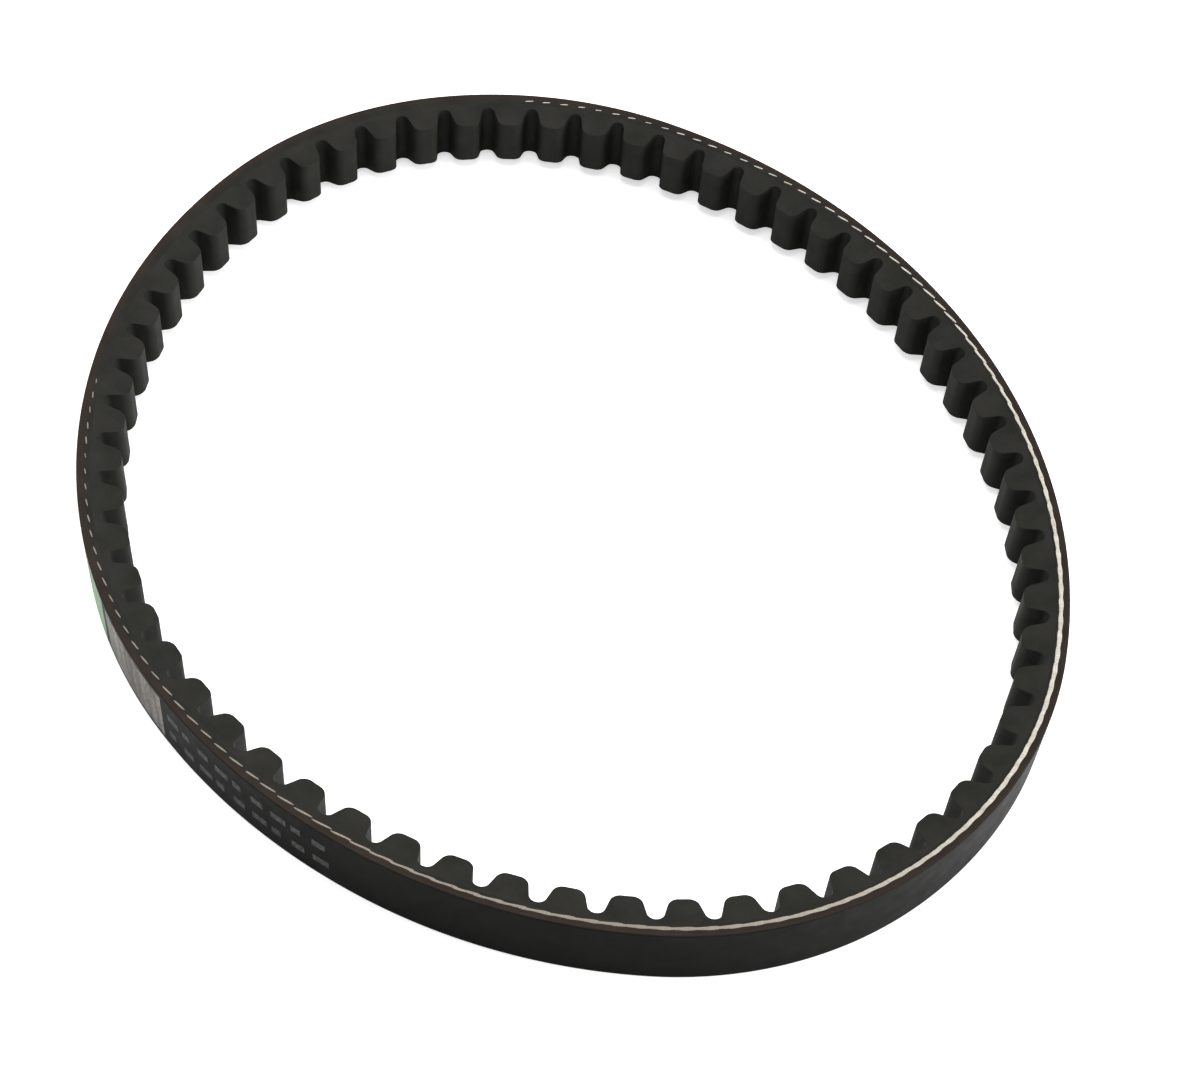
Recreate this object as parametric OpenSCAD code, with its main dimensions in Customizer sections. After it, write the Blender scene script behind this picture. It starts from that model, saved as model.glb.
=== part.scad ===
/* [Section] */
// Width across the back
top_width = 17.7; // [16:0.1:19]
// Thickness from the back to the cog tips
thickness = 10.3; // [9.8:0.1:11]
// Slope of each side face against the middle plane, in degrees
side_angle = 15; // [13:0.5:17]
// Thickness of the back rubber
back_depth = 1.05; // [0.95:0.05:1.1]
// Thickness of the adhesion gum that holds the cord
gum_depth = 2; // [1.9:0.05:2.1]
// Diameter of the tension cord
cord_d = 1.6; // [1.5:0.1:1.8]
// Clearance round the cord
cord_clear = 0.02; // [0.01:0.01:0.04]
// Advance of the cord for each turn round the loop
cord_lead = 2.08; // [2:0.02:2.3]
// Place round the loop, in cogs, where the upper side face cuts the cord in half
cord_half_cut = 49; // [1:1:60]

/* [Cogs] */
// Distance from cog to cog along the cord
pitch = 12.7; // [12.2:0.1:13.2]
// Depth of the groove roots below the back
root_depth = 4.5; // [4.3:0.05:4.8]
// Radius of the groove roots
root_r = 1.9; // [1.7:0.1:2.1]
// Slope of the groove walls, in degrees
wall_angle = 13; // [10:1:15]
// Radius of the cog tip edges
tip_r = 1.9; // [1.5:0.1:2]

/* [Loop] */
// How much more the loop bends at its two long ends than at its sides
end_bend = 0.27; // [0.2:0.01:0.3]
// How much more the back half bends than the front half, near the long ends
back_bend = 0.1; // [0.05:0.01:0.12]
// How sharply the bend is gathered at the long ends
tight_bend = 0.145; // [0.1:0.005:0.16]
// Gap between neighbouring spans, at a groove
span_gap = 0.8; // [0.8:0.05:1]
// Gap between the first and the last span, across a cog
seam_gap = 0.3; // [0.3:0.05:0.5]

/* [Printed marks] */
// Depth of the printed marks, which lie flush in the back
mark_depth = 0.15; // [0.1:0.05:0.3]
// Length of the green mark along the belt
green_length = 21; // [10:1:22]
// Middle of the green mark, from the start of its span
green_place = 13.5; // [12:0.5:14]
// Length of the pale label along the belt
label_length = 22; // [10:1:23]
// Middle of the pale label, from the start of the same span
label_place = 37.5; // [36:0.5:38]
// Width of the marks across the belt
mark_width = 14.5; // [8:0.5:16]
// Number of bars in each row after the label
bar_count = 9; // [4:1:12]

/* [Hidden] */
// Cogs in each span, from the seam round the loop and back to it
spans = [3.5, 5, 5, 5, 5, 5, 4, 5, 5, 5, 5, 5, 3.5];
last = len(spans) - 1;
home = 6;
bars_span = 7;
cord_depth = back_depth + gum_depth / 2;
cog_depth = back_depth + gum_depth;
// Extra depth of the cog tip rounds, which run out into the curved tips
tip_drop = 0.12;
lap = 0.02;
$fn = 96;

function digits(i) = i < 10 ? str("0", i) : str(i);
function sum(v, n) = n <= 0 ? 0 : v[n - 1] + sum(v, n - 1);

// Loop shape: each span is one arc, and the arcs meet tangent to tangent.
starts = [for (i = [0 : last + 1]) sum(spans, i)];
cogs = starts[last + 1];
middles = [for (i = [0 : last]) starts[i] + spans[i] / 2];

function bend(u, even) =
    1 + even * cos(u) - end_bend * cos(2 * u) - back_bend * cos(3 * u) + tight_bend * cos(4 * u);
function weights(even) = [for (i = [0 : last]) spans[i] * bend(360 * middles[i] / cogs, even)];
function turns(even) = let (w = weights(even), total = sum(w, last + 1)) [for (v = w) 360 * v / total];
function radii(turn) = [for (i = [0 : last]) spans[i] * pitch * 180 / (PI * turn[i])];
function angles(turn) = [for (i = [0 : last + 1]) 90 + sum(turn, i)];
function step_x(r, a) = [for (i = [1 : last]) (r[i - 1] - r[i]) * cos(a[i])];
function open_by(even) = let (t = turns(even)) sum(step_x(radii(t), angles(t)), last);

// The share of even bend that brings the last span back to the first one
trial = 0.01;
even_bend = -open_by(0) * trial / (open_by(trial) - open_by(0));

turn = turns(even_bend);
radius = radii(turn);
angle = angles(turn);
step_y = [for (i = [1 : last]) (radius[i - 1] - radius[i]) * sin(angle[i])];
seam_y = (radius[0] + radius[home] - sum(step_y, home)) / 2;
centre_x = [for (i = [0 : last]) sum(step_x(radius, angle), i)];
centre_y = [for (i = [0 : last]) seam_y - radius[0] + sum(step_y, i)];

// Half the width of the section at a depth below the back
function half_width(depth) = top_width / 2 - depth * tan(side_angle);
// Half the width of a groove at a depth below the back
function groove_half(depth) =
    root_r / cos(wall_angle) + (depth - root_depth - root_r) * tan(wall_angle);
// Heights of the cord's turns in the section at the middle of a span
function cord_heights(i) = [
    for (k = [-8 : 8])
        let (z = half_width(cord_depth) + cord_lead * ((middles[i] - cord_half_cut) / cogs + k))
            if (abs(z) < half_width(cord_depth) + 0.4 * cord_d) z
];
// Angle of a place in a span, given in cogs from the seam
function place(i, s) = angle[i] + turn[i] * (s - starts[i]) / spans[i];
// Angle that a length of cord covers in a span
function covers(i, length) = length * 180 / (PI * radius[i]);

// Children are a half section, swept along one span between its two gaps
module sweep(i) {
    head = covers(i, (i == 0 ? seam_gap : span_gap) / 2);
    tail = covers(i, (i == last ? seam_gap : span_gap) / 2);
    translate([centre_x[i], centre_y[i], 0])
        rotate([0, 0, angle[i] + head])
            rotate_extrude(angle = turn[i] - head - tail, $fn = 180)
                children();
}

// Section of one layer between two depths
module layer(i, depth_a, depth_b) {
    outer = radius[i] + cord_depth - depth_a;
    inner = radius[i] + cord_depth - depth_b;
    polygon([
        [outer, -half_width(depth_a)],
        [outer, half_width(depth_a)],
        [inner, half_width(depth_b)],
        [inner, -half_width(depth_b)]
    ]);
}

module cord_circles(i, diameter) {
    for (z = cord_heights(i))
        translate([radius[i], z])
            circle(d = diameter);
}

// Groove outline: a round root, sloping walls and flared edges at the cog tips
module groove_outline() {
    tip_centre = thickness - tip_r + tip_drop;
    flare_centre = groove_half(tip_centre) + tip_r / cos(wall_angle);
    flare_start = tip_centre + tip_r * sin(wall_angle);
    flare_end = flare_start + 0.4 * tip_r;
    root_end = root_depth + root_r * (1 - sin(wall_angle));
    // The walls cut a hair into both rounds instead of just touching them
    slope = tan(wall_angle) + 2 * lap / (flare_start - root_end);
    root_half = groove_half(root_end) - lap;
    flare_half = root_half + slope * (flare_end - root_end);
    translate([-root_depth - root_r, 0])
        circle(r = root_r);
    polygon([
        [-root_end, -root_half],
        [-flare_end, -flare_half],
        [-flare_end, flare_half],
        [-root_end, root_half]
    ]);
    difference() {
        translate([-thickness - 1, -flare_centre])
            square([thickness + 1 - flare_start, 2 * flare_centre]);
        for (side = [-1, 1])
            translate([-tip_centre, side * flare_centre])
                circle(r = tip_r);
    }
}

// A flush patch in the back of a span, from place a to place b in cogs from the seam
module patch(i, a, b, height, z = 0) {
    outer = radius[i] + cord_depth;
    translate([centre_x[i], centre_y[i], 0])
        rotate([0, 0, place(i, a)])
            rotate_extrude(angle = place(i, b) - place(i, a), $fn = 180)
                translate([outer - mark_depth, z - height / 2])
                    square([mark_depth, height]);
}

module green_patch() {
    middle = starts[home] + green_place / pitch;
    reach = green_length / pitch / 2;
    patch(home, middle - reach, middle + reach, mark_width);
}

module label_patch() {
    middle = starts[home] + label_place / pitch;
    reach = label_length / pitch / 2;
    patch(home, middle - reach, middle + reach, mark_width);
}

// Two rows of plain bars of unlike length, in place of the lines of print
module bar_patches() {
    step = (spans[bars_span] - 1) / bar_count;
    for (row = [-1, 1], n = [0 : bar_count - 1]) {
        a = starts[bars_span] + 0.5 + n * step;
        patch(bars_span, a, a + step * (0.45 + 0.15 * ((n + row + 1) % 3)), 2.2, row * 3);
    }
}

module back_rubber(i) {
    color("#34312c")
        difference() {
            sweep(i)
                layer(i, 0, back_depth);
            if (i == home) {
                green_patch();
                label_patch();
            }
            if (i == bars_span) bar_patches();
        }
}

module adhesion_gum(i) {
    color("#4a443d")
        sweep(i)
            difference() {
                layer(i, back_depth, cog_depth);
                cord_circles(i, cord_d + 2 * cord_clear);
            }
}

module tension_cord(i) {
    color("#dccfb2")
        sweep(i)
            intersection() {
                layer(i, back_depth, cog_depth);
                cord_circles(i, cord_d);
            }
}

module cog_rubber(i) {
    color("#5d5952")
        difference() {
            sweep(i)
                layer(i, cog_depth, thickness);
            for (groove = [0.5 : 1 : cogs])
                if (groove > starts[i] - 0.1 && groove < starts[i + 1] + 0.1)
                    translate([centre_x[i], centre_y[i], -top_width / 2])
                        rotate([0, 0, place(i, groove)])
                            translate([radius[i] + cord_depth, 0, 0])
                                linear_extrude(top_width)
                                    groove_outline();
        }
}

module green_mark() {
    color("#79ad7c")
        green_patch();
}

module pale_label() {
    color("#b4b1a6")
        label_patch();
}

module print_bars() {
    color("#8f8d86")
        bar_patches();
}

for (i = [0 : last]) {
    back_rubber(i);
    adhesion_gum(i);
    tension_cord(i);
    cog_rubber(i);
}
green_mark();
pale_label();
print_bars();
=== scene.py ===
import math

import bpy
import numpy as np
from mathutils import Matrix, Vector


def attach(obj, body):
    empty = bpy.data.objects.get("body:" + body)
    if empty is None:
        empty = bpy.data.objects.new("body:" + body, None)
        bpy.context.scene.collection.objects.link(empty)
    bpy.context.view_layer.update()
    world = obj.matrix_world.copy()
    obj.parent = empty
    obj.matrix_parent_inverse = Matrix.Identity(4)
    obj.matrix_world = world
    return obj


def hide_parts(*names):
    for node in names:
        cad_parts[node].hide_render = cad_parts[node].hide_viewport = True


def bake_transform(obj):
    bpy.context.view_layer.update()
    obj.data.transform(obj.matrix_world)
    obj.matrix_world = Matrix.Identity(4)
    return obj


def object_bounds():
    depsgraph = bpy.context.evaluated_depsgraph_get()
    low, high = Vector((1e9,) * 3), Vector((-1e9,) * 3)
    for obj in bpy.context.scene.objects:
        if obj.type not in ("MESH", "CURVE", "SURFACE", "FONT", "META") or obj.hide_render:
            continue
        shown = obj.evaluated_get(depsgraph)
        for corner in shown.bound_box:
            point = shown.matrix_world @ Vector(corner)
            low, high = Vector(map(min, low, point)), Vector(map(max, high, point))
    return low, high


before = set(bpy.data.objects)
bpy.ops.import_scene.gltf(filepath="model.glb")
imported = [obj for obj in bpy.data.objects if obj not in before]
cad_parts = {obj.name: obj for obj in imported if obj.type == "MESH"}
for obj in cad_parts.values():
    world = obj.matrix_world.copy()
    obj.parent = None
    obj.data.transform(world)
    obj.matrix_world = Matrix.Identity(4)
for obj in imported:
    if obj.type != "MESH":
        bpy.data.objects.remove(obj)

cad_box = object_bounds()
MM = 0.001

# A cogged V-belt. Throughout, s counts cogs round the loop from the seam, depth is millimetres
# below the back, and z is millimetres above the middle plane.

# ---------------------------------------------------------------- belt, in millimetres
TOP_WIDTH = 17.7
THICKNESS = 10.3
BACK = 1.05  # depth of the back rubber
GUM = 3.05  # depth of the gum's lower face
CORD = 2.05  # depth of the cord line
PITCH = 12.7
SIDE = math.tan(math.radians(15))
ROOT_DEPTH, ROOT_R = 4.5, 1.9
WALL = math.radians(14)
TIP_R = 2.5
SPANS = [3.5, 5, 5, 5, 5, 5, 4, 5, 5, 5, 5, 5, 3.5]  # cogs in each CAD span, from the seam
STARTS = np.concatenate([[0], np.cumsum(SPANS)])
COGS = STARTS[-1]
LAST_SPAN = len(SPANS) - 1
HOME = 6  # the span opposite the seam, which carries the green mark
END_BEND, BACK_BEND, TIGHT_BEND = 0.27, 0.1, 0.145  # as in the CAD
END_RING = 0.003  # cogs from a stretch's end to the next points, which keeps its shading even


def half_width(depth):
    return TOP_WIDTH / 2 - depth * SIDE


# ---------------------------------------------------------------- loop of tangent arcs
def loop(even):
    """Turn, radius, angles and centres of the arcs, for a share of even bend."""
    u = 2 * np.pi * (STARTS[:-1] + np.array(SPANS) / 2) / COGS
    w = SPANS * (
        1
        + even * np.cos(u)
        - END_BEND * np.cos(2 * u)
        - BACK_BEND * np.cos(3 * u)
        + TIGHT_BEND * np.cos(4 * u)
    )
    turn = 2 * np.pi * w / w.sum()
    radius = np.array(SPANS) * PITCH / turn
    angle = np.pi / 2 + np.concatenate([[0], np.cumsum(turn)])
    step = radius[:-1] - radius[1:]
    cx = np.concatenate([[0], np.cumsum(step * np.cos(angle[1:-1]))])
    cy = np.concatenate([[0], np.cumsum(step * np.sin(angle[1:-1]))])
    return turn, radius, angle, cx, cy


def open_by(even):
    """How far the last arc's centre misses the first one's."""
    return loop(even)[3][-1]


TRIAL = 0.01
EVEN = -open_by(0) * TRIAL / (open_by(TRIAL) - open_by(0))
TURN, RADIUS, ANGLE, CX, CY = loop(EVEN)
CY = CY - RADIUS[0] + (RADIUS[0] + RADIUS[HOME] - (CY[HOME] - CY[0])) / 2


def span_at(s):
    """Number of the CAD span that holds each s."""
    return np.clip(np.searchsorted(STARTS, s, "right") - 1, 0, LAST_SPAN)


def along(s):
    """Point on the cord line, outward normal and forward tangent, s cogs from the seam."""
    s = np.atleast_1d(np.asarray(s, float))
    i = span_at(s)
    a = ANGLE[i] + TURN[i] * (s - STARTS[i]) / np.array(SPANS)[i]
    n = np.stack([np.cos(a), np.sin(a)], 1)
    p = np.stack([CX[i], CY[i]], 1) + RADIUS[i][:, None] * n
    return p, n, np.stack([-n[:, 1], n[:, 0]], 1)


def place(s, depth, z):
    """Points of the frame, in millimetres, at s, depth below the back and height z."""
    p, n, _ = along(s)
    q = p + n * (CORD - np.asarray(depth, float))[:, None]
    return np.column_stack([q, np.broadcast_to(z, len(q))])


def cog_of(xy):
    """s of points near the belt, from the arc that each lies on."""
    best, out = np.full(len(xy), 1e9), np.zeros(len(xy))
    for i, span in enumerate(SPANS):
        v = xy - [CX[i], CY[i]]
        a = np.arctan2(v[:, 1], v[:, 0]) - ANGLE[i]
        a = (a + np.pi) % (2 * np.pi) - np.pi
        s = STARTS[i] + a / TURN[i] * span
        off = np.maximum(STARTS[i] - s, s - STARTS[i + 1])
        nearer = off < best
        best[nearer], out[nearer] = off[nearer], s[nearer]
    return out


# ---------------------------------------------------------------- moulded cog profile
def groove(k):
    """Half profile of the groove at s = k + 0.5, root to cog tip, as (sideways, depth)."""
    reach = RADIUS[span_at(k + 0.5)] + CORD
    depth = THICKNESS - TIP_R  # of the tip round's centre, which settles within 6 rounds
    for _ in range(6):
        sunk = depth - ROOT_DEPTH - ROOT_R
        side = ROOT_R / math.cos(WALL) + sunk * math.tan(WALL) + TIP_R / math.cos(WALL)
        depth = reach - math.sqrt((reach - THICKNESS + TIP_R) ** 2 - side**2)
    # Every root has a close pair of points in its middle, as it has where a cut runs
    a = np.concatenate([[0, 0.012], np.linspace(0, np.pi / 2 - WALL, 13)[1:]])
    root = np.column_stack([ROOT_R * np.sin(a), ROOT_DEPTH + ROOT_R - ROOT_R * np.cos(a)])
    lean = math.atan2(side, reach - depth)
    b = np.linspace(WALL, np.pi / 2 + lean, 9)
    tip = np.column_stack([side - TIP_R * np.cos(b), depth + TIP_R * np.sin(b)])
    t = np.linspace(0, 1, 6)[1:-1, None]
    wall = root[-1] * (1 - t) + tip[0] * t
    return np.vstack([root, wall, tip])


def profile(a, b):
    """The moulded outline from s = a to s = b, in the plane of the loop."""
    all_s, all_xy = [], []
    for k in range(int(math.floor(a)) - 1, int(math.ceil(b)) + 1):
        p, n, t = (v[0] for v in along((k + 0.5) % COGS))
        g = groove(k % int(COGS))
        middle, aside = p + np.outer(CORD - g[:, 1], n), np.outer(g[:, 0], t)
        xy = np.vstack([(middle - aside)[::-1], (middle + aside)[1:]])
        s = cog_of(xy)
        if k < 0:  # a groove beyond the seam counts on from this side of it
            s = s - COGS * (s > COGS / 2)
        if k + 1 > COGS:
            s = s + COGS * (s < COGS / 2)
        all_s.append(s)
        all_xy.append(xy)
    s, xy = np.concatenate(all_s), np.vstack(all_xy)
    tip_flat = 0.12  # a jump in s longer than this is the flat of a cog tip
    for j in np.flatnonzero(np.diff(s) > tip_flat)[::-1]:
        between = np.linspace(s[j], s[j + 1], 6)[1:-1]
        flat = place(between, np.full(4, THICKNESS), 0)[:, :2]
        s, xy = np.insert(s, j + 1, between), np.insert(xy, j + 1, flat, 0)
    clear = END_RING + 0.001
    keep = (s > a + clear) & (s < b - clear)
    s, xy = s[keep], xy[keep]
    for ends in ([a, a + END_RING], [b - END_RING, b]):
        at_root = abs(ends[0] % 1 - 0.5) < 0.1  # a cut runs through a groove root or a cog
        at = 0 if ends[0] == a else len(s)
        q = place(ends, np.full(2, ROOT_DEPTH if at_root else THICKNESS), 0)[:, :2]
        s, xy = np.insert(s, at, ends), np.insert(xy, at, q, 0)
    return s, xy


# ---------------------------------------------------------------- meshes
def build(name, verts, faces, uvs, slots, materials, sharp=35):
    """A mesh object from millimetre points, with per-corner UVs and a material number per face.

    Edges stay sharp where their faces turn by more than sharp degrees.
    """
    mesh = bpy.data.meshes.new(name)
    mesh.from_pydata((np.asarray(verts) * MM).tolist(), [], faces)
    layer = mesh.uv_layers.new(name="belt")
    layer.data.foreach_set("uv", np.asarray(uvs, np.float32).ravel())
    mesh.polygons.foreach_set("material_index", np.asarray(slots, np.int32))
    for m in materials:
        mesh.materials.append(m)
    mesh.validate()
    mesh.shade_smooth()
    mesh.set_sharp_from_angle(angle=math.radians(sharp))
    obj = bpy.data.objects.new(name, mesh)
    bpy.context.scene.collection.objects.link(obj)
    return obj


def tube(rings, uv, slots, first=0):
    """Faces, corner UVs and material numbers of a closed tube through rings (n, k, 3).

    uv is (n, k + 1, 2), slots has a material number per strip, first is the first point's number.
    """
    n, k = rings.shape[:2]
    faces, uvs, index = [], [], []
    for i in range(n - 1):
        near, far = first + i * k, first + (i + 1) * k
        for j in range(k):
            jn = (j + 1) % k
            faces.append((near + j, near + jn, far + jn, far + j))
            uvs += [uv[i, j], uv[i, j + 1], uv[i + 1, j + 1], uv[i + 1, j]]
            index.append(slots[j])
    for i, order in ((0, range(k - 1, -1, -1)), (n - 1, range(k))):
        faces.append(tuple(first + i * k + j for j in order))
        uvs += [uv[i, j] for j in order]
        index.append(slots[0])
    return faces, uvs, index


def uv_grid(u, v):
    """UVs of a tube whose rings lie at u and whose strips start at v."""
    return np.stack(np.broadcast_arrays(u[:, None], v[None, :]), 2)


def round_corner(a, b, c, r, count):
    """Points of an arc that rounds corner b of the path a, b, c."""
    a, b, c = (np.array(v, float) for v in (a, b, c))
    u, v = (a - b) / np.linalg.norm(a - b), (c - b) / np.linalg.norm(c - b)
    cos_half = math.sqrt((1 + u @ v) / 2)
    sin_half = math.sqrt(1 - cos_half**2)
    p, q = (b + w * (r * cos_half / sin_half) for w in (u, v))
    mid = b + (u + v) / np.linalg.norm(u + v) * (r / sin_half)
    d0, d1 = (p - mid) / r, (q - mid) / r
    angle = math.acos(np.clip(d0 @ d1, -1, 1))
    out = []
    for t in np.linspace(0, 1, count):
        w0, w1 = (math.sin(v * angle) / math.sin(angle) for v in (1 - t, t))
        out.append(mid + r * (w0 * d0 + w1 * d1))
    return out


def band(name, a, b, section, slots, materials):
    """A closed section of (depth, z) points swept from s = a to s = b."""
    s = np.linspace(a, b, max(3, int(round((b - a) * 12)) + 1))  # 12 rings a cog
    s = np.concatenate([s[:1], [a + END_RING], s[1:-1], [b - END_RING], s[-1:]])
    section = np.array(section)
    rings = np.stack([place(s, np.full(len(s), d), z) for d, z in section], 1)
    steps = np.diff(np.vstack([section, section[:1]]), axis=0)
    around = np.concatenate([[0], np.cumsum(np.linalg.norm(steps, axis=1))])
    faces, uvs, index = tube(rings, uv_grid(s * PITCH, around), slots)
    return build(name, rings.reshape(-1, 3), faces, uvs, index, materials)


def mirrored(points):
    """The same (depth, z) points on the other side of the middle plane, in reverse."""
    return [(d, -z) for d, z in reversed(points)]


def back_section():
    """Back rubber: flat back, rounded back edges, flat ground side faces with a bevelled foot."""
    edge_r, arc_points, bevel = 0.22, 5, 0.06
    side_row, flat_in, flat_points = 0.62, 0.9, 15
    top, low = half_width(0), half_width(BACK)
    edge = [(BACK, -low), (0, -top), (0, top), (BACK, low)]
    right = round_corner(*edge[:3], edge_r, arc_points)
    left = round_corner(*edge[1:], edge_r, arc_points)
    across = [(0.0, z) for z in np.linspace(-top + flat_in, top - flat_in, flat_points)]
    foot = [(BACK, -low + bevel), (BACK - bevel, -low - bevel * SIDE)]
    foot.append((side_row, -half_width(side_row)))
    points = foot + right + across + left + mirrored(foot)
    skin_from = len(foot) + 1
    skin = range(skin_from, skin_from + arc_points + len(across))
    return points, [0 if j in skin else 1 for j in range(len(points))]


def gum_section():
    """Adhesion gum: a plain band, a hair narrower than its neighbours, brown next to the back."""
    dip, corner = 0.003, 0.01
    depths = (GUM - corner, 2.55, 2.05, 1.55, BACK + corner)
    right = [(GUM, -half_width(GUM) + corner)]
    right += [(d, -half_width(d) + dip) for d in depths]
    right.append((BACK, -half_width(BACK) + corner))
    points = right + mirrored(right)
    brown = (len(right) - 3, len(right) - 2, len(right), len(right) + 1)
    return points, [int(j in brown) for j in range(len(points))]


def cog_band(name, a, b, materials):
    """Cog rubber: ground side faces down to the moulded cog outline, with a fine edge between."""
    bevel = 0.1
    ground, moulded = 0, 1  # material numbers
    s, xy = profile(a, b)
    forward = np.gradient(xy, axis=0)
    forward /= np.linalg.norm(forward, axis=1)[:, None]
    inward = np.column_stack([forward[:, 1], -forward[:, 0]])  # into the rubber
    p, n, _ = along(np.clip(s, 0, COGS))
    base = p + n * (CORD - GUM)

    def depth_of(q):
        return CORD - ((q - p) * n).sum(1)

    def flank(q, lift=0.0):
        return np.column_stack([q, half_width(depth_of(q)) - lift])

    rows = []  # from the gum down the upper side face, over the edge and to the middle plane
    for t in (0.002, 0.3, 0.65, 1.0):
        rows.append(flank(base * (1 - t) + (xy + inward * 2.2 * bevel) * t))
    kinds = [ground] * len(rows)
    rows.append(flank(xy + inward * bevel))
    rows.append(flank(xy + inward * 0.3 * bevel, 0.3 * bevel))
    z_edge = half_width(depth_of(xy)) - bevel
    for t in (1, 0.985, 0.8, 0.6, 0.4, 0.2, 0):
        rows.append(np.column_stack([xy, z_edge * t]))
    kinds += [moulded] * (len(rows) - 1 - len(kinds))
    lower = [r * [1, 1, -1] for r in rows[:-1]][::-1]
    rings = np.stack(rows + lower, 1)
    strip = kinds + kinds[::-1] + [ground]  # the last is the face under the gum
    if np.cross(rings[0, 1] - rings[0, 0], rings[1, 0] - rings[0, 0])[2] > 0:
        rings, strip = rings[:, ::-1], strip[:-1][::-1] + [ground]
    arc = np.concatenate([[0], np.cumsum(np.linalg.norm(np.diff(xy, axis=0), axis=1))])
    count = rings.shape[1]
    uv = np.zeros((len(s), count + 1, 2))
    for j in range(count + 1):
        row = rings[:, j % count]
        if moulded in (strip[min(j, count - 1)], strip[max(j - 1, 0)]):
            uv[:, j] = np.column_stack([a * PITCH + arc, row[:, 2]])
        else:
            off = 30 * np.sign(row[:, 2])  # keeps the two side faces' patterns apart
            uv[:, j] = np.column_stack([s * PITCH, depth_of(row[:, :2]) + off])
    faces, uvs, index = tube(rings, uv, strip)
    return build(name, rings.reshape(-1, 3), faces, uvs, index, materials)


# ---------------------------------------------------------------- cord, cut open by the side faces
PLIES, PLY_R, PLY_ORBIT = 3, 0.34, 0.38
SWAY = 0.27  # how far a cut ply swings across the cord line
TWIST = 14.7  # length of one turn of the plies
CORE_R = 0.52  # middle of the cord, which shows where the cut runs deep
PLY_PROUD, CORE_PROUD = 0.05, 0.02  # how far the bare cord bulges out of the side face
THINNEST = 0.03  # a cut narrower than this either side isn't made
CUT_LIMIT, CUT_REACH = 0.69, 15.5  # the cut leaves the middle of the cord over about CUT_REACH cogs
FADE, FADE_FROM = 0.1, 23.8  # and lays bare less and less beyond FADE_FROM cogs
DEEPEST = {1: 49.0, -1: 50.2}  # where the upper and the lower side face cut the cord in half
HIDDEN_R = 0.75  # radius of the turns inside the gum
HIDDEN_IN = 1.1  # least distance from such a turn's centre to a side face
LEAD = 2.08  # advance of the cord for each turn round the loop


def cut_depth(s, middle):
    """How far a side face passes outside the cord's centre, s cogs from the seam."""
    away = abs((s - middle + COGS / 2) % COGS - COGS / 2)
    t = away / CUT_REACH
    return CUT_LIMIT * t / (1 + t**6) ** (1 / 6) + FADE * np.clip(away - FADE_FROM, 0, None)


def stretches(bare):
    """Start and end of every run of at least 5 samples that are bare."""
    edges = np.flatnonzero(np.diff(np.concatenate([[0], bare.astype(int), [0]])))
    return [(i, j) for i, j in zip(edges[::2], edges[1::2]) if j - i >= 5]


def cut_plies(a, b, side):
    """What a side face lays bare of the cord from s = a to s = b, at 60 samples a cog.

    Each stretch is (s, depth, half width, how far it stands proud).
    """
    fine = np.linspace(a, b, int((b - a) * 60) + 1)
    cut = cut_depth(fine, DEEPEST[side])
    turns = fine * PITCH / TWIST
    out = []
    for ply in range(PLIES):
        phase = 2 * np.pi * (turns * side + ply / PLIES)
        wobble = 0.012 * np.sin(fine * 3.7 + ply) + 0.01 * np.sin(fine * 11.3 + 2 * ply)
        gap = cut + wobble - PLY_ORBIT * np.cos(phase)
        half = np.sqrt(np.clip(PLY_R**2 - gap**2, 0, None))
        for i, j in stretches(half > THINNEST):
            out.append((fine[i:j], CORD + SWAY * np.sin(phase[i:j]), half[i:j], PLY_PROUD))
    core = np.sqrt(np.clip(CORE_R**2 - cut**2, 0, None))
    core *= 1 + 0.12 * np.sin(2 * PLIES * np.pi * fine * PITCH / TWIST)
    for i, j in stretches(core > THINNEST):
        out.append((fine[i:j], np.full(j - i, CORD), core[i:j], CORE_PROUD))
    return out


def cord_piece(name, a, b, materials):
    """The cord from s = a to s = b: what shows on both side faces, and its turns in the gum."""
    verts, faces, uvs, index = [], [], [], []

    def add(rows, s):
        rings = np.stack(rows, 1)
        k = len(rows)
        grid = uv_grid(s * PITCH, np.linspace(0, 1, k + 1))
        made = tube(rings, grid, [0] * k, len(verts))
        verts.extend(rings.reshape(-1, 3))
        for kept, new in zip((faces, uvs, index), made):
            kept.extend(new)

    bulge = ((-1, -1), (-0.75, 0.4), (-0.3, 1), (0.3, 1), (0.75, 0.4), (1, -1), (0, -6))
    for side in DEEPEST:
        for s, depth, half, proud in cut_plies(a, b, side):
            full = np.minimum(1, half / PLY_R * 2.2)  # the bulge runs out where the cut narrows
            rows = []
            for t, rise in bulge:
                d = depth + half * t
                z = half_width(d) + rise * proud * (full if rise > 0 else 1)
                rows.append(place(s, d, side * z))
            add(rows[::side], s)
    s = np.linspace(a, b, int((b - a) * 4) + 1)
    for k in range(-8, 9):
        z = half_width(CORD) + LEAD * ((s - DEEPEST[1]) / COGS + k)
        if abs(z).max() < half_width(CORD) - HIDDEN_IN:
            rows = []
            for t in np.linspace(0, 2 * np.pi, 9)[:-1]:
                depth = np.full(len(s), CORD + HIDDEN_R * np.cos(t))
                rows.append(place(s, depth, z + HIDDEN_R * np.sin(t)))
            add(rows, s)
    return build(name, verts, faces, uvs, index, materials, 60)


# ---------------------------------------------------------------- printed marks, a film on the back
FILM_OUT, FILM_IN = -0.03, 0.05  # depths of a film's two faces
FILM_GRID = 0.8


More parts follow.
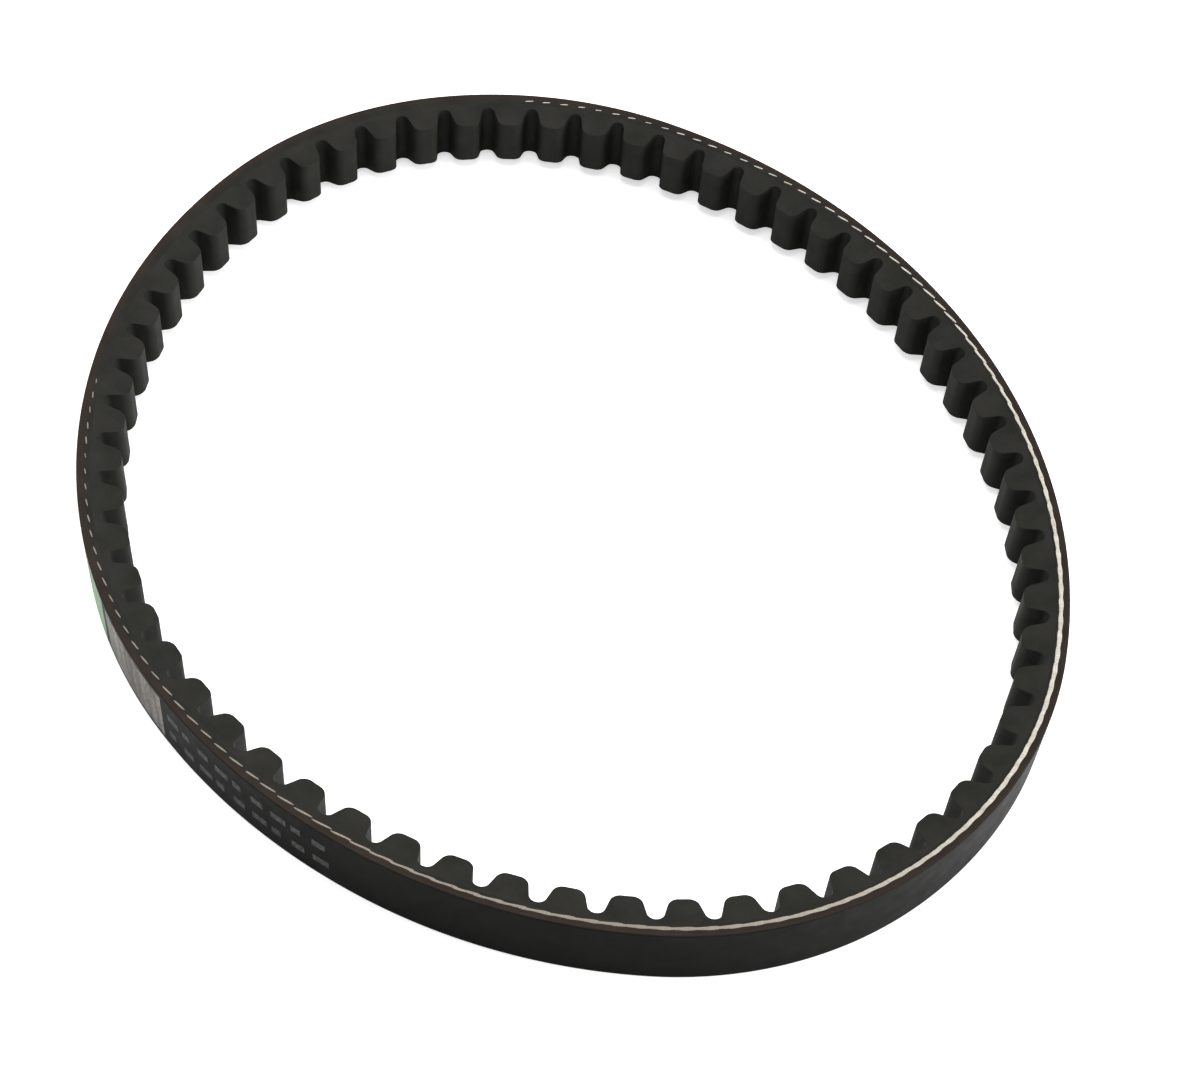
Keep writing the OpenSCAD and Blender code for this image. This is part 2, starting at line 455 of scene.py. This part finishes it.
def film(name, patches, material):
    """Thin patches on the back, each (s from, s to, z from, z to)."""
    verts, faces, uvs = [], [], []
    for s0, s1, z0, z1 in patches:
        ns = max(2, int((s1 - s0) * PITCH / FILM_GRID) + 1)
        nz = max(2, int((z1 - z0) / FILM_GRID) + 1)
        s, z = np.meshgrid(np.linspace(s0, s1, ns), np.linspace(z0, z1, nz), indexing="ij")
        s, z = s.ravel(), z.ravel()
        outer = len(verts)
        inner = outer + ns * nz
        for depth in (FILM_OUT, FILM_IN):
            verts.extend(place(s, np.full(s.size, depth), z))
            uvs.extend(np.column_stack([s * PITCH, z + TOP_WIDTH / 2]))
        for i in range(ns - 1):
            for j in range(nz - 1):
                v = i * nz + j
                q = (v, v + nz, v + nz + 1, v + 1)
                faces.append(tuple(outer + v for v in q))
                faces.append(tuple(inner + v for v in q[::-1]))
        rim = [i * nz for i in range(ns)] + [(ns - 1) * nz + j for j in range(1, nz)]
        rim += [i * nz + nz - 1 for i in range(ns - 2, -1, -1)] + list(range(nz - 2, 0, -1))
        for v, w in zip(rim, rim[1:] + rim[:1]):
            faces.append((outer + w, outer + v, inner + v, inner + w))
    corners = [uvs[v] for f in faces for v in f]
    return build(name, verts, faces, corners, [0] * len(faces), [material])


# ---------------------------------------------------------------- materials
class Nodes:
    """Short calls for a material's node tree. UVs are millimetres along and across the belt."""

    def __init__(self, name):
        self.m = bpy.data.materials.new(name)
        self.m.use_nodes = True
        self.t = self.m.node_tree
        self.bsdf = self.t.nodes["Principled BSDF"]
        uv = self.t.nodes.new("ShaderNodeUVMap")
        uv.uv_map = "belt"
        self.uv = uv.outputs[0]

    def feed(self, socket, v):
        """Sets a socket to a number, vector or colour, or links it to another socket."""
        if isinstance(v, (int, float)):
            socket.default_value = v
        elif isinstance(v, tuple):
            socket.default_value = (*v, 1) if socket.type == "RGBA" else v
        else:
            self.t.links.new(v, socket)

    def add(self, kind, inputs):
        """A new node with its named inputs fed."""
        n = self.t.nodes.new("ShaderNode" + kind)
        for key, v in inputs.items():
            self.feed(n.inputs[key], v)
        return n

    def scaled(self, x, y, turn=0.0):
        inputs = {"Scale": (x, y, 1), "Rotation": (0, 0, math.radians(turn)), "Vector": self.uv}
        return self.add("Mapping", inputs).outputs[0]

    def noise(self, vector, scale, detail, rough, distort=0.0):
        inputs = {"Scale": scale, "Detail": detail, "Roughness": rough, "Distortion": distort}
        return self.add("TexNoise", {**inputs, "Vector": vector}).outputs["Fac"]

    def wave(self, vector, scale, distort, detail):
        inputs = {"Scale": scale, "Distortion": distort, "Detail": detail, "Vector": vector}
        return self.add("TexWave", inputs).outputs["Fac"]

    def ramp(self, value, low, high):
        """Two colours, each given with the value where it is reached."""
        n = self.add("ValToRGB", {"Fac": value})
        for e, (at, colour) in zip(n.color_ramp.elements, (low, high)):
            e.position = at
            e.color = (*colour, 1)
        return n.outputs["Color"]

    def spread(self, value, low, high, a=0.0, b=1.0):
        """The value's range from low to high, spread out from a to b and clipped there."""
        inputs = {"From Min": low, "From Max": high, "To Min": a, "To Max": b, "Value": value}
        return self.add("MapRange", inputs).outputs[0]

    def math(self, kind, a, b):
        n = self.t.nodes.new("ShaderNodeMath")
        n.operation = kind
        self.feed(n.inputs[0], a)
        self.feed(n.inputs[1], b)
        return n.outputs[0]

    def shares(self, a, share_a, b, share_b):
        """A share of one value plus a share of another."""
        part_a, part_b = self.math("MULTIPLY", a, share_a), self.math("MULTIPLY", b, share_b)
        return self.math("ADD", part_a, part_b)

    def mix(self, fac, a, b):
        n = self.t.nodes.new("ShaderNodeMix")
        n.data_type = "RGBA"
        for i, v in ((0, fac), (6, a), (7, b)):  # the factor and the two colours
            self.feed(n.inputs[i], v)
        return n.outputs[2]

    def bump(self, height, strength, distance, before=None):
        inputs = {"Strength": strength, "Distance": distance * MM, "Height": height}
        if before is not None:
            inputs["Normal"] = before
        return self.add("Bump", inputs).outputs[0]

    def finish(self, colour, rough, normal, specular, sheen=0.0):
        inputs = {"Base Color": colour, "Roughness": rough, "Normal": normal}
        inputs.update({"Specular IOR Level": specular, "Sheen Weight": sheen})
        for key, v in inputs.items():
            self.feed(self.bsdf.inputs[key], v)
        return self.m


def ground_rubber(name, dark, light, fibre):
    """A ground side face: fine lines along the belt, specks of cut fibre, cloudy dust."""
    n = Nodes(name)
    lines = n.noise(n.scaled(0.12, 3.2), 3.0, 4.0, 0.6)
    cloud = n.noise(n.scaled(1, 1), 0.11, 3.0, 0.55)
    grain = n.noise(n.scaled(1, 1.3), 5.5, 3.0, 0.7)
    specks = n.spread(n.noise(n.scaled(1.0, 1.6), 3.4, 2.0, 0.5), 0.66, 0.78)
    colour = n.ramp(n.shares(cloud, 0.6, lines, 0.4), (0.36, dark), (0.64, light))
    colour = n.mix(n.math("MULTIPLY", specks, 0.65), colour, fibre)
    normal = n.bump(lines, 0.35, 0.05)
    normal = n.bump(grain, 0.5, 0.05, normal)
    return n.finish(colour, n.spread(grain, 0.3, 0.7, 0.66, 0.86), normal, 0.1)


def moulded_rubber():
    """A moulded cog face: darker skin, faint streaks across the belt, a few pale rubs."""
    n = Nodes("moulded_rubber")
    dark, light, rubbed = (0.0090, 0.0098, 0.0074), (0.0175, 0.0182, 0.0142), (0.046, 0.038, 0.030)
    streaks = n.noise(n.scaled(2.6, 0.16), 1.6, 4.0, 0.6)
    cloud = n.noise(n.scaled(1, 1), 0.16, 2.0, 0.5)
    grain = n.noise(n.scaled(1, 1), 4.5, 3.0, 0.65)
    colour = n.ramp(n.shares(cloud, 0.5, streaks, 0.5), (0.36, dark), (0.62, light))
    rubs = n.spread(n.noise(n.scaled(1.5, 0.5), 1.1, 5.0, 0.7), 0.64, 0.8)
    colour = n.mix(n.math("MULTIPLY", rubs, 0.35), colour, rubbed)
    normal = n.bump(streaks, 0.3, 0.06)
    normal = n.bump(grain, 0.35, 0.04, normal)
    return n.finish(colour, n.spread(streaks, 0.3, 0.7, 0.52, 0.72), normal, 0.13)


def back_colour(n):
    """The back's colour, shared with the printed marks so that worn print blends into it."""
    dark, light = (0.0024, 0.0026, 0.0020), (0.0058, 0.0055, 0.0046)
    cloud = n.noise(n.scaled(1, 1), 0.07, 3.0, 0.5)
    fine = n.noise(n.scaled(1, 1), 1.3, 4.0, 0.6)
    return n.ramp(n.shares(cloud, 0.65, fine, 0.35), (0.36, dark), (0.64, light))


def back_weave(n):
    """Height of the cloth grain left in the back by the curing wrap."""
    warp = n.wave(n.scaled(1, 1, 45), 1.1, 0.7, 1.0)
    weft = n.wave(n.scaled(1, 1, -45), 1.1, 0.7, 1.0)
    return n.math("MAXIMUM", warp, weft)


def back_rubber():
    """The back: near-black, satin, with the cloth grain, fine grain and a few dull scuffs."""
    n = Nodes("back_rubber")
    weave = back_weave(n)
    patches = n.noise(n.scaled(1, 1), 0.2, 3.0, 0.55)
    scuffs = n.spread(n.noise(n.scaled(0.35, 1.6), 1.2, 4.0, 0.65), 0.62, 0.78)
    colour = n.mix(n.math("MULTIPLY", scuffs, 0.3), back_colour(n), (0.026, 0.023, 0.020))
    normal = n.bump(weave, 0.22, 0.05)
    normal = n.bump(n.noise(n.scaled(1, 1), 4.0, 3.0, 0.6), 0.3, 0.04, normal)
    return n.finish(colour, n.spread(patches, 0.3, 0.7, 0.34, 0.44), normal, 0.04)


def printed(name, dark, light, worn, streak):
    """Worn ink over the back rubber, thin where the weave stands proud.

    worn is how much of it is gone, streak how fast its tone changes across the belt.
    """
    n = Nodes(name)
    ink = n.ramp(n.noise(n.scaled(1, streak), 0.4, 3.0, 0.6), (0.35, dark), (0.65, light))
    wear = n.noise(n.scaled(0.8, 0.8), 1.3, 5.0, 0.7)
    thin = n.math("MULTIPLY", back_weave(n), 0.05)
    left = n.spread(n.math("SUBTRACT", wear, thin), worn, worn + 0.12)
    colour = n.mix(left, back_colour(n), ink)
    normal = n.bump(back_weave(n), 0.2, 0.05)
    return n.finish(colour, n.spread(left, 0, 1, 0.4, 0.5), normal, 0.22)


def cord_fibre():
    """Cut cord: pale twisted filaments with dirt between them, darker on one side of the loop,
    partly rubber dust and partly painted shade.
    """
    n = Nodes("cord_fibre")
    strands = n.noise(n.scaled(1.4, 9.0), 1.6, 3.0, 0.6, 0.4)
    dirt = n.noise(n.scaled(1, 1), 0.42, 3.0, 0.6)
    clean = n.ramp(strands, (0.3, (0.31, 0.28, 0.22)), (0.6, (0.70, 0.67, 0.59)))
    dusty_and_shaded = n.ramp(strands, (0.3, (0.085, 0.072, 0.053)), (0.62, (0.29, 0.25, 0.20)))
    # Darker from about cog 20 to cog 43, fading in from 14 and out by 50: partly rubber dust,
    # partly painted shade
    run = n.add("SeparateXYZ", {"Vector": n.uv}).outputs[0]
    since = n.spread(run, 14 * PITCH, 20 * PITCH)
    until = n.spread(run, 43 * PITCH, 50 * PITCH)
    colour = n.mix(n.math("SUBTRACT", since, until), clean, dusty_and_shaded)
    colour = n.mix(n.spread(dirt, 0.4, 0.7, 0.0, 0.45), colour, (0.24, 0.21, 0.165))
    normal = n.bump(strands, 0.6, 0.08)
    return n.finish(colour, n.spread(strands, 0.3, 0.7, 0.9, 0.7), normal, 0.3, 0.25)


# Each ground face is given as its dark, its light and its fibre colour
SIDE_FACE = ground_rubber(
    "cog_rubber_ground", (0.0112, 0.0114, 0.0094), (0.0218, 0.0210, 0.0183), (0.085, 0.079, 0.070)
)
GUM_FACE = ground_rubber(
    "gum_ground", (0.0110, 0.0111, 0.0093), (0.0210, 0.0202, 0.0176), (0.068, 0.062, 0.054)
)
BACK_FACE = ground_rubber(
    "back_rubber_ground", (0.0175, 0.0125, 0.0096), (0.0290, 0.0208, 0.0160), (0.062, 0.047, 0.036)
)
MOULDED = moulded_rubber()
BACK_SKIN = back_rubber()
CORD_FIBRE = cord_fibre()
GREEN = printed("green_ink", (0.26, 0.42, 0.26), (0.44, 0.58, 0.42), 0.28, 0.6)
PALE = printed("pale_ink", (0.115, 0.105, 0.090), (0.40, 0.37, 0.33), 0.34, 0.1)
BARS = printed("bar_ink", (0.045, 0.046, 0.047), (0.105, 0.105, 0.106), 0.40, 1)

# ---------------------------------------------------------------- pieces
CUTS = [0, 2, 6, 11, 16, 21, 26, 30.5, 35, 40, 45, 50, 55, 59, COGS]  # ends of the stretches, as s
LAST = len(CUTS) - 2
STIFF_END = 0.35  # cogs at a stretch's end, taken off the reach about each hinge


def hang(obj, k):
    """Ties a piece of an end stretch to its body, where it rides; a piece of any other stretch is
    only baked in place.
    """
    if k in (0, LAST):
        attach(obj, "span_%02d" % (0 if k == 0 else LAST_SPAN))
        return
    hinge = STARTS[k]
    reach = min(hinge - CUTS[k], CUTS[k + 1] - hinge) - STIFF_END
    start, end = (place([hinge + d], np.array([CORD]), 0)[0] * MM for d in (-reach, reach))
    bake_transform(obj)


back_shape, gum_shape = back_section(), gum_section()
for k in range(LAST + 1):
    a, b = CUTS[k], CUTS[k + 1]
    part = "_part_%02d" % k
    layers = {
        "back_rubber": band("back_rubber" + part, a, b, *back_shape, [BACK_SKIN, BACK_FACE]),
        "adhesion_gum": band("adhesion_gum" + part, a, b, *gum_shape, [GUM_FACE, BACK_FACE]),
        "tension_cord": cord_piece("tension_cord" + part, a, b, [CORD_FIBRE]),
        "cog_rubber": cog_band("cog_rubber" + part, a, b, [SIDE_FACE, MOULDED]),
    }
    for layer, obj in layers.items():
        hang(obj, k)
        if k <= LAST_SPAN:
            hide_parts("%s_%02d" % (layer, k))

MARK_HALF = 14.5 / 2  # half the width of the green and the pale mark
GREEN_ENDS, PALE_ENDS = (28.736, 30.39), (30.587, 32.8)  # as s
BARS_FROM, BARS_RUN, BAR_COUNT = 33, 4, 9  # each row's start and length as s, and its bars
ROW_Z, BAR_HALF = 3, 1.1  # height of the upper row's middle, and half the height of a bar

green = film("green_mark_film", [(*GREEN_ENDS, -MARK_HALF, MARK_HALF)], GREEN)
pale = film("pale_label_film", [(*PALE_ENDS, -MARK_HALF, MARK_HALF)], PALE)
bars = []
for row in (-1, 1):
    for n in range(BAR_COUNT):
        a = BARS_FROM + n * BARS_RUN / BAR_COUNT
        b = a + BARS_RUN / BAR_COUNT * (0.45 + 0.15 * ((n + row + 1) % 3))
        bars.append((a, b, row * ROW_Z - BAR_HALF, row * ROW_Z + BAR_HALF))


def bars_on(k):
    """The bars, or the parts of them, that lie on stretch k."""
    low, high = CUTS[k], CUTS[k + 1]
    return [(max(a, low), min(b, high), *z) for a, b, *z in bars if a < high and b > low]


near = film("print_bars_film_a", bars_on(7), BARS)
far = film("print_bars_film_b", bars_on(8), BARS)
for obj, k, node, slot in (
    (green, 6, "green_mark", "green_ink"),
    (pale, 7, "pale_label", "pale_ink"),
    (near, 7, "print_bars", "bar_ink"),
    (far, 8, "print_bars", "bar_ink"),
):
    hang(obj, k)
    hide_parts(node)


# ---------------------------------------------------------------- floor, light and camera
def by_camera(tree, socket, unseen, shown):
    """Gives the backdrop one value for the light it returns and another for how white it looks."""
    path = tree.nodes.new("ShaderNodeLightPath")
    value = tree.nodes.new("ShaderNodeMapRange")
    value.inputs["To Min"].default_value = unseen
    value.inputs["To Max"].default_value = shown
    tree.links.new(path.outputs["Is Camera Ray"], value.inputs["Value"])
    tree.links.new(value.outputs[0], socket)


FLOOR_HALF, FLOOR_BELOW = 6.0, 0.0001  # half the floor's side, and its distance under the belt
floor_mesh = bpy.data.meshes.new("floor")
w, z = FLOOR_HALF, cad_box[0].z - FLOOR_BELOW
floor_mesh.from_pydata([(-w, -w, z), (w, -w, z), (w, w, z), (-w, w, z)], [], [(0, 1, 2, 3)])
floor = bpy.data.objects.new("floor", floor_mesh)
bpy.context.scene.collection.objects.link(floor)
paint = bpy.data.materials.new("floor_paint")
paint.use_nodes = True
matt = paint.node_tree.nodes["Principled BSDF"]
matt.inputs["Roughness"].default_value = 0.9
matt.inputs["Specular IOR Level"].default_value = 0.1
matt.inputs["Emission Color"].default_value = (1, 1, 1, 1)
by_camera(paint.node_tree, matt.inputs["Base Color"], 0.9, 0.92)
by_camera(paint.node_tree, matt.inputs["Emission Strength"], 0.0, 0.6)
floor_mesh.materials.append(paint)

world = bpy.data.worlds.new("world")
bpy.context.scene.world = world
world.use_nodes = True
sky = world.node_tree.nodes["Background"]
sky.inputs["Color"].default_value = (1, 1, 1, 1)
by_camera(world.node_tree, sky.inputs["Strength"], 0.36, 0.95)

# The camera's place and its lights' places are given in axes turned by HEADING about Z
PITCH_DOWN, ROLL, HEADING = (math.radians(v) for v in (50.61, 5.68, 59.91))
CAMERA_AT = Vector((0.010588, -0.347701, 0.398729))
level = Matrix.Rotation(HEADING, 3, "Z")
forward = level @ Vector((0, math.cos(PITCH_DOWN), -math.sin(PITCH_DOWN)))
right = level @ Vector((1, 0, 0))
up = right.cross(forward)
camera = bpy.data.objects.new("camera", bpy.data.cameras.new("camera"))
rolled_right = right * math.cos(ROLL) + up * math.sin(ROLL)
rolled_up = up * math.cos(ROLL) - right * math.sin(ROLL)
turned = Matrix((rolled_right, rolled_up, -forward)).transposed().to_4x4()
turned.translation = level @ CAMERA_AT
camera.matrix_world = turned
camera.data.sensor_width = 36
camera.data.lens = 64.83
camera.data.clip_start, camera.data.clip_end = 0.01, 20
bpy.context.scene.collection.objects.link(camera)
bpy.context.scene.camera = camera
bpy.context.scene.view_settings.view_transform = "Standard"


def area(name, aside, ahead, height, size, power):
    """A soft light, placed in metres as the camera sees the belt, and aimed at the middle."""
    light = bpy.data.lights.new(name, "AREA")
    light.shape = "RECTANGLE"
    light.size, light.size_y = size
    light.energy = power
    obj = bpy.data.objects.new(name, light)
    obj.location = right * aside + level @ Vector((0, ahead, 0)) + Vector((0, 0, height))
    obj.rotation_mode = "QUATERNION"
    obj.rotation_quaternion = (-obj.location).to_track_quat("-Z", "Y")
    bpy.context.scene.collection.objects.link(obj)


area("key", 0, 0.35, 1.25, (1.6, 1.6), 21)
area("side", 1.1, 0, 0.4, (0.9, 0.7), 14)
area("rim", -0.9, 0.7, 0.6, (0.9, 0.6), 4)
